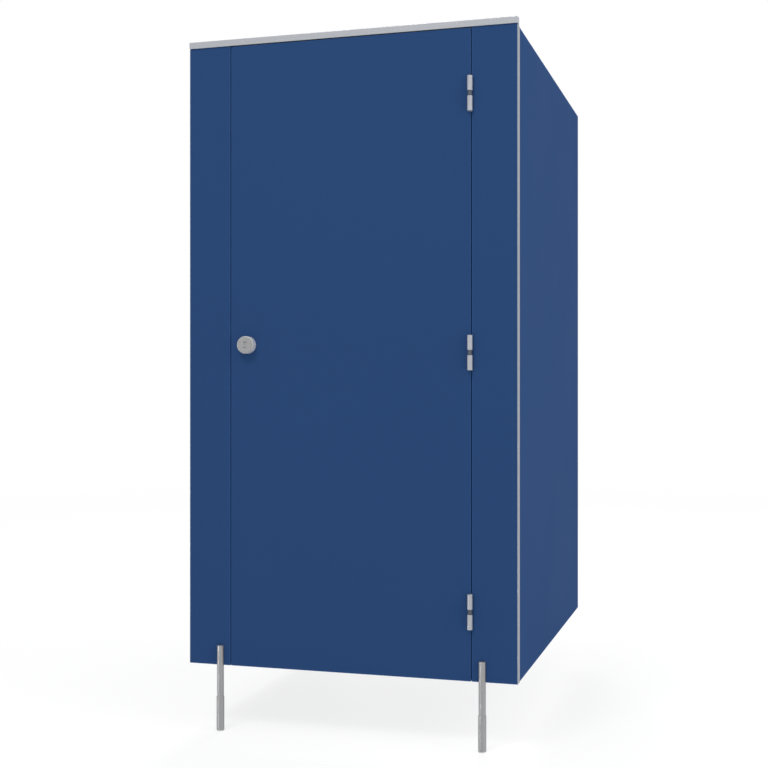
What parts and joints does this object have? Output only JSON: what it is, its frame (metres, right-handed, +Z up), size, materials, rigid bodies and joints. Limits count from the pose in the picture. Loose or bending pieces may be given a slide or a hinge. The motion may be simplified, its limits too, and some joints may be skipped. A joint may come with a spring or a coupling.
{
  "type": "changing cubicle",
  "caption": "Blue panelled changing cubicle raised on levelling legs, with an outward opening door, an indicator lock and a metal headrail, open at the top and fixed to a wall at the back.",
  "frame": {"origin": "on the floor, under the middle of the plan", "axes": "+X right as the user faces the door, +Y from the front to the wall, +Z up"},
  "size_m": [0.9686, 1.2584, 2],
  "materials": {
    "laminate": "satin blue laminate",
    "anodised": "satin anodised",
    "stainless": "brushed",
    "hinge_metal": "satin anodised",
    "hinge_nylon": "matt",
    "lock_metal": "satin die-cast",
    "rubber": "matt",
    "indicator_slate": "matt",
    "indicator_red": "gloss"
  },
  "bodies": {
    "surround": {"pilaster_left": "laminate", "pilaster_right": "laminate", "side_partition_left": "laminate", "side_partition_right": "laminate", "headrail": "anodised", "headrail_cap_left": "anodised", "headrail_cap_right": "anodised", "headrail_screws": "stainless", "corner_profile_left": "anodised", "corner_profile_right": "anodised", "corner_profile_screws": "stainless", "wall_angle_left": "anodised", "wall_angle_right": "anodised", "wall_angle_screws": "stainless", "leg_left": "stainless", "leg_right": "stainless", "leg_bolts": "stainless", "hinge_frame_screws": "stainless", "hinge_frame_leaf_bottom": "hinge_metal", "hinge_frame_leaf_middle": "hinge_metal", "hinge_frame_leaf_top": "hinge_metal", "hinge_pin_bottom": "stainless", "hinge_pin_middle": "stainless", "hinge_pin_top": "stainless", "hinge_ring_bottom": "hinge_nylon", "hinge_ring_middle": "hinge_nylon", "hinge_ring_top": "hinge_nylon", "lock_keep": "lock_metal", "keep_buffers": "rubber", "keep_screws": "stainless"},
    "door": {"door_panel": "laminate", "hinge_door_leaf_bottom": "hinge_metal", "hinge_door_leaf_middle": "hinge_metal", "hinge_door_leaf_top": "hinge_metal", "hinge_door_screws": "stainless", "lock_knob": "stainless", "lock_case": "lock_metal", "lock_cover": "lock_metal", "lock_through_screws": "stainless", "thumb_turn_washer": "hinge_nylon", "coat_hook": "stainless", "coat_hook_screws": "stainless"},
    "bolt": {"lock_bolt": "stainless"},
    "spindle": {"lock_spindle": "stainless", "lock_pinion": "stainless", "indicator_disc": "indicator_slate", "indicator_flag": "indicator_red", "thumb_turn": "stainless", "thumb_turn_screw": "stainless"},
    "foot_left": {"foot_sleeve_left": "stainless", "foot_stud_left": "stainless", "foot_pad_left": "rubber"},
    "foot_right": {"foot_sleeve_right": "stainless", "foot_stud_right": "stainless", "foot_pad_right": "rubber"}
  },
  "joints": [
    {"name": "door_swing", "type": "hinge", "parent": "surround", "child": "door", "pos_m": [0.35325, -0.61275, 1.0895], "axis": [0, 0, 1], "range_deg": [0, 170]},
    {"name": "lock_turn", "type": "hinge", "parent": "door", "child": "spindle", "pos_m": [-0.30125, -0.58675, 1.116], "axis": [0, 1, 0], "range_deg": [0, 90]},
    {"name": "bolt_slide", "type": "slide", "parent": "door", "child": "bolt", "axis": [-1, 0, 0], "range_m": [0, 0.0165]},
    {"name": "foot_adjust_left", "type": "slide", "parent": "surround", "child": "foot_left", "axis": [0, 0, 1], "range_m": [-0.025, 0.025]},
    {"name": "foot_adjust_right", "type": "slide", "parent": "surround", "child": "foot_right", "axis": [0, 0, 1], "range_m": [-0.025, 0.025]}
  ],
  "couplings": [
    {"joint": "bolt_slide", "follows": "lock_turn", "m_per_rad": 0.0105}
  ]
}
